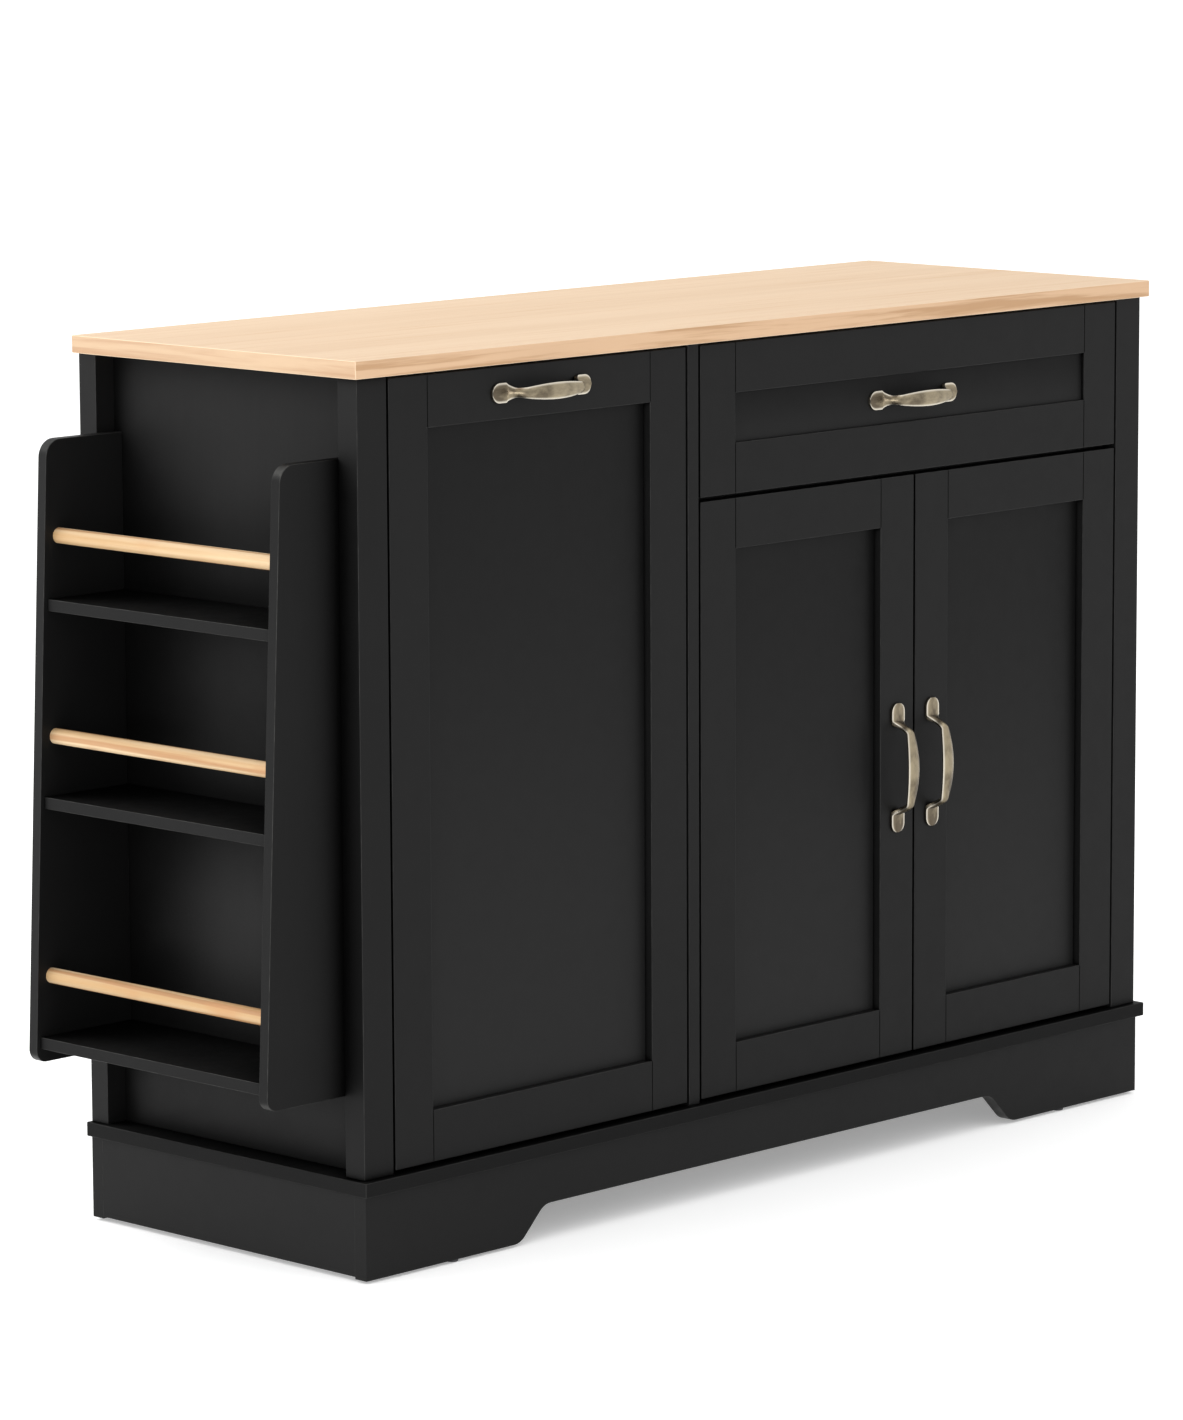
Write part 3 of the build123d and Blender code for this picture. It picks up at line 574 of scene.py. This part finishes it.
def screw_head(radius, rise):
    """Pan head with a cross-shaped drive sunk into its crown."""
    slot, depth = radius * 0.16, rise * 0.55
    reach = radius * 0.58
    work = bmesh.new()
    outline = [(slot, slot), (reach, slot), (reach, -slot), (slot, -slot)]
    cross = []
    for quarter in range(4):
        turn = Matrix.Rotation(-quarter * pi / 2, 2)
        cross += [turn @ Vector(point) for point in outline[:3]]
    rim_count = 36
    spokes = [2 * pi * i / rim_count for i in range(rim_count)]
    foot = [work.verts.new((radius * cos(a), radius * sin(a), 0)) for a in spokes]
    wall = [work.verts.new((radius * cos(a), radius * sin(a), rise * 0.45)) for a in spokes]
    crown = radius * 0.8
    dome = [work.verts.new((crown * cos(a), crown * sin(a), rise * 0.86)) for a in spokes]
    mouth = [work.verts.new((p.x, p.y, rise)) for p in cross]
    sunk = [work.verts.new((p.x * 0.8, p.y * 0.8, rise - depth)) for p in cross]
    for lower, upper in ((foot, wall), (wall, dome)):
        for i in range(rim_count):
            j = (i + 1) % rim_count
            work.faces.new((lower[i], lower[j], upper[j], upper[i]))
    for i in range(len(cross)):
        j = (i + 1) % len(cross)
        work.faces.new((mouth[i], mouth[j], sunk[j], sunk[i]))
    work.faces.new(sunk)
    edges = [e for e in work.edges if all(v in dome or v in mouth for v in e.verts)]
    bmesh.ops.triangle_fill(work, edges=edges, use_beauty=True)
    bmesh.ops.recalc_face_normals(work, faces=work.faces)
    return work


def stamped(name, template, matrices, material, body):
    """One piece holding a copy of the template mesh at each matrix."""
    shade(template)
    source = to_mesh(name + "_source", template)
    work = bmesh.new()
    for matrix in matrices:
        first = len(work.verts)
        work.from_mesh(source)
        work.verts.ensure_lookup_table()
        bmesh.ops.transform(work, matrix=matrix, verts=work.verts[first:])
    bpy.data.meshes.remove(source)
    place(name, to_mesh(name, work), material, body)


def looking(point, direction):
    """Places a template's foot at point, with its +Z along direction."""
    return Matrix.Translation(point) @ Vector(direction).to_track_quat("Z", "Y").to_matrix().to_4x4()


# ---------------------------------------------------------------- bow pulls

PULL_HALF = 70.0
PAD_ROUND = 60.2
PAD_WIDTH = 20.0
PAD_THICK = 3.0
SHOULDER = (43.5, 52.0)
NECK = (37.5, 50.5)
NECK_WIDTH = 9.4
NECK_SWELL = 1.6
GRIP_WIDTH = 16.8
GRIP_THICK = 5.2
GRIP_SINK = 4.6
PULL_SCREW_SPREAD = 60.0 * MM


def ease(value, start, end):
    """0 before start, 1 after end, smooth between."""
    share = min(max((value - start) / (end - start), 0.0), 1.0)
    return share * share * (3 - 2 * share)


def pull_centre(along, reach):
    """Height of the bar's centre line above the mounting face."""
    away = abs(along)
    crest = reach - GRIP_THICK / 2 - GRIP_SINK * (min(away, NECK[0]) / NECK[0]) ** 2
    return crest + (PAD_THICK / 2 - crest) * ease(away, *NECK)


def pull_size(along):
    """Width and thickness of the bar: paddle, neck, then a leaf-shaped grip."""
    away = abs(along)
    if away > PAD_ROUND:
        end = PULL_HALF - PAD_ROUND
        width = PAD_WIDTH * sqrt(max(1 - ((away - PAD_ROUND) / end) ** 2, 0.0)) ** 0.9
    else:
        leaf = NECK_WIDTH + (GRIP_WIDTH - NECK_WIDTH) * cos(min(away / SHOULDER[0], 1) * pi / 2) ** 0.85
        width = leaf + (PAD_WIDTH - leaf) * ease(away, *SHOULDER)
    thick = GRIP_THICK + (PAD_THICK - GRIP_THICK) * ease(away, NECK[1] - 4.0, SHOULDER[1] + 2.0)
    thick += NECK_SWELL * ease(away, NECK[0] - 8.0, NECK[0] + 2.0) * ease(away, SHOULDER[1], NECK[1] - 6.0)
    return width, thick


def pull_stations():
    """Places along half the pull, closest together where it bends or ends."""
    half = [4.0 * i for i in range(1, 9)]
    half += [33.5 + 0.75 * i for i in range(27)]
    half += [54.5, 56.5, 58.5]
    half += [PAD_ROUND + (PULL_HALF - PAD_ROUND) * sin(pi / 2 * i / 9) for i in range(10)]
    return [-along for along in half[::-1]] + [0.0] + half


def bow_pull(node, body, upright):
    """A cast pull on the same seat as its CAD node: paddle feet, necks and a crowned grip."""
    box_low, box_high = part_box(node)
    middle = (box_low + box_high) / 2
    reach = (box_high.y - box_low.y) / MM
    crown_steps = 8
    work = bmesh.new()
    rim = work.verts.layers.float.new("rim")
    dip = work.verts.layers.float.new("dip")
    rings = []
    for along in pull_stations():
        width, thick = pull_size(along)
        half = max(width / 2, 0.05)
        height = pull_centre(along, reach)
        step = 0.05
        slope = (pull_centre(along + step, reach) - pull_centre(along - step, reach)) / (2 * step)
        length = sqrt(1 + slope * slope)
        lift = Vector((-slope / length, 0, 1 / length))
        core = Vector((along, 0, height))
        pad = ease(abs(along), *SHOULDER)
        crown = (0.42 - 0.2 * pad) * thick
        flat = thick / 2 - crown
        ring = []
        for i in range(crown_steps + 1):
            share = -1 + 2 * i / crown_steps
            rise = flat + crown * (1 - share * share)
            vert = work.verts.new(core + Vector((0, share * half, 0)) + lift * rise)
            vert[rim] = abs(share)
            vert[dip] = (1 - share * share) * (0.55 + 0.45 * pad)
            ring.append(vert)
        for i in range(crown_steps + 1):
            share = 1 - 2 * i / crown_steps
            drop = thick / 2 - 0.32 * thick * share * share * (1 - pad)
            vert = work.verts.new(core + Vector((0, share * half, 0)) - lift * drop)
            vert[rim] = 0.6 * abs(share)
            ring.append(vert)
        rings.append(ring)
    for before, after in zip(rings, rings[1:]):
        for i in range(len(before)):
            j = (i + 1) % len(before)
            work.faces.new((before[i], before[j], after[j], after[i]))
    work.faces.new(rings[0][::-1])
    work.faces.new(rings[-1])
    bmesh.ops.recalc_face_normals(work, faces=work.faces)
    shade(work, 38)
    for vert in work.verts:
        vert.co *= MM
    out = Vector((0, -1, 0))
    along_axis = Vector((0, 0, 1)) if upright else Vector((1, 0, 0))
    across = out.cross(along_axis)
    seat = Vector((middle.x, box_high.y, middle.z))
    matrix = Matrix.Translation(seat) @ Matrix((along_axis, across, out)).transposed().to_4x4()
    piece = place(f"{node}_casting", to_mesh(node, work), BRASS, body, matrix)
    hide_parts(node)
    soften = piece.modifiers.new("soft_arris", "BEVEL")
    soften.width = 0.28 * MM
    soften.segments = 2
    soften.limit_method = "ANGLE"
    soften.angle_limit = radians(38)


def handle_screws(node, body, face_y, upright):
    """Two machine-screw heads behind a pull, on the face at face_y."""
    at = centre(node)
    spots = []
    for side in (-PULL_SCREW_SPREAD, PULL_SCREW_SPREAD):
        shift = Vector((0, 0, side)) if upright else Vector((side, 0, 0))
        spots.append(looking(Vector((at.x, face_y, at.z)) + shift, (0, 1, 0)))
    name = f"{node}_screws"
    stamped(name, screw_head(4.2 * MM, 2.6 * MM), spots, SCREW, body)


def make_pulls():
    for node, body, upright in (
        ("bin_handle", "pull_out_bin", False),
        ("drawer_handle", "drawer", False),
        ("left_door_handle", "left_door", True),
        ("right_door_handle", "right_door", True),
    ):
        bow_pull(node, body, upright)
    handle_screws("left_door_handle", "left_door", FRONT_BACK, True)
    handle_screws("right_door_handle", "right_door", FRONT_BACK, True)
    handle_screws("bin_handle", "pull_out_bin", FRONT_BACK, False)
    inner_face = low("drawer_box_ends").y + PLY_THICK
    handle_screws("drawer_handle", "drawer", inner_face, False)


# ---------------------------------------------------------------- hinge and slide fittings

HINGE_INSET = 26 * MM
PLATE_DEPTH = 53 * MM
PLATE_TOP = 3 * MM
PLATE_SCREW_RISE = 20 * MM
ARM_TOP = 9 * MM
ARM_SCREW_DEPTHS = (16 * MM, 58 * MM)
CUP_SCREW_RISE = 24 * MM
SLIDE_SHEET = 1.2 * MM
SLIDE_SCREW_DEPTHS = (37 * MM, 165 * MM, 293 * MM)
BALL_TRACK = 7.6 * MM
BALL_INSET = 2.6 * MM
CAGE_INSET = 12 * MM

def hinge_screws():
    """Screws on the mounting plates, arms and cups."""
    plate_z = (low("hinge_arms").z, high("hinge_arms").z)
    levels = (plate_z[0] + HINGE_INSET, plate_z[1] - HINGE_INSET)
    plate_y = FRONT_BACK + PLATE_DEPTH
    on_cabinet = []
    for wall, side in ((LEFT_WALL, 1), (RIGHT_WALL, -1)):
        for level in levels:
            for rise in (-PLATE_SCREW_RISE, PLATE_SCREW_RISE):
                spot = Vector((wall + side * PLATE_TOP, plate_y, level + rise))
                on_cabinet.append(looking(spot, (side, 0, 0)))
            for depth in ARM_SCREW_DEPTHS:
                spot = Vector((wall + side * ARM_TOP, FRONT_BACK + depth, level))
                on_cabinet.append(looking(spot, (side, 0, 0)))
    head = screw_head(3.4 * MM, 1.8 * MM)
    stamped("hinge_plate_screws", head, on_cabinet, SCREW, "cabinet")
    for name in ("left_door", "right_door"):
        cups = centre(f"{name}_hinge_cups")
        face_y = high(f"{name}_hinge_cups").y
        spots = [
            looking(Vector((cups.x, face_y, level + rise)), (0, 1, 0))
            for level in levels
            for rise in (-CUP_SCREW_RISE, CUP_SCREW_RISE)
        ]
        stamped(f"{name}_cup_screws", screw_head(3.2 * MM, 0.7 * MM), spots, SCREW, name)


def slide_balls():
    """Steel balls between the nested slide members, above and below each middle member."""
    radius, pitch, per_cage = 1.0 * MM, 9.0 * MM, 9
    for body, node, walls in (
        ("drawer_middle_slides", "drawer_middle_members", (LEFT_WALL, RIGHT_WALL)),
        ("bin_middle_slides", "bin_middle_members", BIN_WALLS),
    ):
        start, end = low(node), high(node)
        cages = (start.y + CAGE_INSET, end.y - CAGE_INSET - pitch * (per_cage - 1))
        spots = [
            Matrix.Translation((wall + side * BALL_TRACK, cage + i * pitch, level))
            for wall, side in zip(walls, (1, -1))
            for level in (start.z + BALL_INSET, end.z - BALL_INSET)
            for cage in cages
            for i in range(per_cage)
        ]
        ball = bmesh.new()
        bmesh.ops.create_icosphere(ball, subdivisions=2, radius=radius)
        stamped(f"{body}_balls", ball, spots, SCREW, body)


def slide_screws():
    """Flat screws that hold the outer slide members to the walls."""
    spots = []
    depths = [low("cabinet_slide_members").y + depth for depth in SLIDE_SCREW_DEPTHS]
    slides = (("bin_middle_members", BIN_WALLS), ("drawer_middle_members", (LEFT_WALL, RIGHT_WALL)))
    for node, walls in slides:
        level = centre(node).z
        for wall, side in zip(walls, (1, -1)):
            x = wall + side * SLIDE_SHEET
            spots += [looking(Vector((x, y, level)), (side, 0, 0)) for y in depths]
    stamped("slide_screws", screw_head(3.4 * MM, 1.2 * MM), spots, SCREW, "cabinet")


# ---------------------------------------------------------------- back and small trim


def back_nails():
    """Round nail heads round the borders of the two back sheets."""
    y = high("back_sheets").y
    floor_z, top_z = low("back_sheets").z, high("back_sheets").z
    left, right = low("back_sheets").x, high("back_sheets").x
    stile_left, stile_right = low("back_centre_stile").x, high("back_centre_stile").x
    spots = []
    edge, corner = 8 * MM, 12 * MM
    rows, gaps = 7, 5
    for x in (left + edge, stile_left - edge, stile_right + edge, right - edge):
        for i in range(rows):
            z = floor_z + corner + (top_z - floor_z - 2 * corner) * i / (rows - 1)
            spots.append(looking(Vector((x, y, z)), (0, 1, 0)))
    for span_left, span_right in ((left, stile_left), (stile_right, right)):
        for i in range(1, gaps):
            x = span_left + (span_right - span_left) * i / gaps
            spots += [looking(Vector((x, y, z)), (0, 1, 0)) for z in (floor_z + edge, top_z - edge)]
    head = spun([(2.4 * MM, 0), (2.2 * MM, 0.35 * MM), (0, 0.45 * MM)], 18)
    stamped("back_sheet_nails", head, spots, ZINC, "cabinet")


def door_buffers():
    """Soft domes on the back corners of the doors and of the two pull-out fronts."""
    dome = [(4.0 * MM, 0), (3.9 * MM, 0.3 * MM), (2.8 * MM, 0.62 * MM), (0, 0.8 * MM)]
    for body, node, ends in (
        ("left_door", "left_door_stiles", (1,)),
        ("right_door", "right_door_stiles", (0,)),
        ("drawer", "drawer_front_stiles", (0, 1)),
        ("pull_out_bin", "bin_front_stiles", (0, 1)),
    ):
        corner_low, corner_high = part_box(node)
        inset = 9 * MM
        spots = []
        for end in ends:
            x = corner_high.x - inset if end else corner_low.x + inset
            for z in (corner_low.z + inset, corner_high.z - inset):
                spots.append(looking(Vector((x, FRONT_BACK, z)), (0, 1, 0)))
        stamped(f"{body}_buffers", spun(dome, 20), spots, BUFFER, body)


def joint_shade_lines():
    """Dark prisms in the bottom of the V between stiles and rails: painted shade in the joints."""
    half, depth, lip = 0.54 * MM, 1.1 * MM, 0.15 * MM
    tongue = 7.5 * MM
    for body, front in FRONTS.items():
        rails_low, rails_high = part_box(f"{front}_rails")
        face_y = low(f"{front}_stiles").y
        panel_low, panel_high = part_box(f"{front}_panel")
        work = bmesh.new()
        for x in (panel_low.x + tongue, panel_high.x - tongue):
            for span_z in ((rails_low.z, panel_low.z + tongue), (panel_high.z - tongue, rails_high.z)):
                ends = []
                for z in (span_z[0] + depth, span_z[1] - depth):
                    outline = ((x - half, lip), (x + half, lip), (x, depth))
                    ends.append([work.verts.new((px, face_y + py, z)) for px, py in outline])
                foot, head = ends
                work.faces.new(foot)
                work.faces.new(head[::-1])
                for i in range(3):
                    j = (i + 1) % 3
                    work.faces.new((foot[j], foot[i], head[i], head[j]))
        bmesh.ops.recalc_face_normals(work, faces=work.faces)
        place(f"{front}_joint_shade_lines", to_mesh(front, work), JOINT_SHADE, body)


# ---------------------------------------------------------------- studio


def area_light(name, place_at, target, size, power):
    data = bpy.data.lights.new(name, "AREA")
    data.shape = "RECTANGLE"
    data.size, data.size_y = size
    data.energy = power
    light = bpy.data.objects.new(name, data)
    aim = Vector(target) - Vector(place_at)
    light.matrix_world = Matrix.Translation(place_at) @ aim.to_track_quat("-Z", "Y").to_matrix().to_4x4()
    bpy.context.scene.collection.objects.link(light)


def make_studio():
    """Pale floor, even white surroundings, and broad soft lights on the left and above."""
    half, drop = 45.0, 0.3 * MM
    data = bpy.data.meshes.new("studio_floor")
    corners = [(-half, -half), (half, -half), (half, half), (-half, half)]
    data.from_pydata([(x, y, -drop) for x, y in corners], [], [(0, 1, 2, 3)])
    data.materials.append(floor_material())
    ground = bpy.data.objects.new("studio_floor", data)
    bpy.context.scene.collection.objects.link(ground)
    world = bpy.data.worlds.new("studio")
    bpy.context.scene.world = world
    world.use_nodes = True
    backdrop = world.node_tree.nodes["Background"]
    backdrop.inputs["Color"].default_value = (1.0, 1.0, 1.0, 1.0)
    backdrop.inputs["Strength"].default_value = 1.12
    area_light("key", (-4.4, -0.6, 0.7), (0, 0, 0.3), (2.4, 1.2), 64)
    area_light("top", (0.3, -0.6, 4.2), (0, 0, 0.5), (3.4, 3.0), 20)
    area_light("back_left", (-4.5, 4.2, 1.0), (-0.6, 0, 0.4), (6.0, 5.0), 44)
    area_light("floor_wash", (-2.6, 1.8, 2.6), (-2.2, 1.5, 0), (2.5, 2.5), 62)
    bpy.context.scene.view_settings.view_transform = "Standard"


# ---------------------------------------------------------------- the whole scene


make_camera()
make_studio()
dress_nodes()
make_pulls()
hinge_screws()
slide_screws()
slide_balls()
back_nails()
door_buffers()
joint_shade_lines()
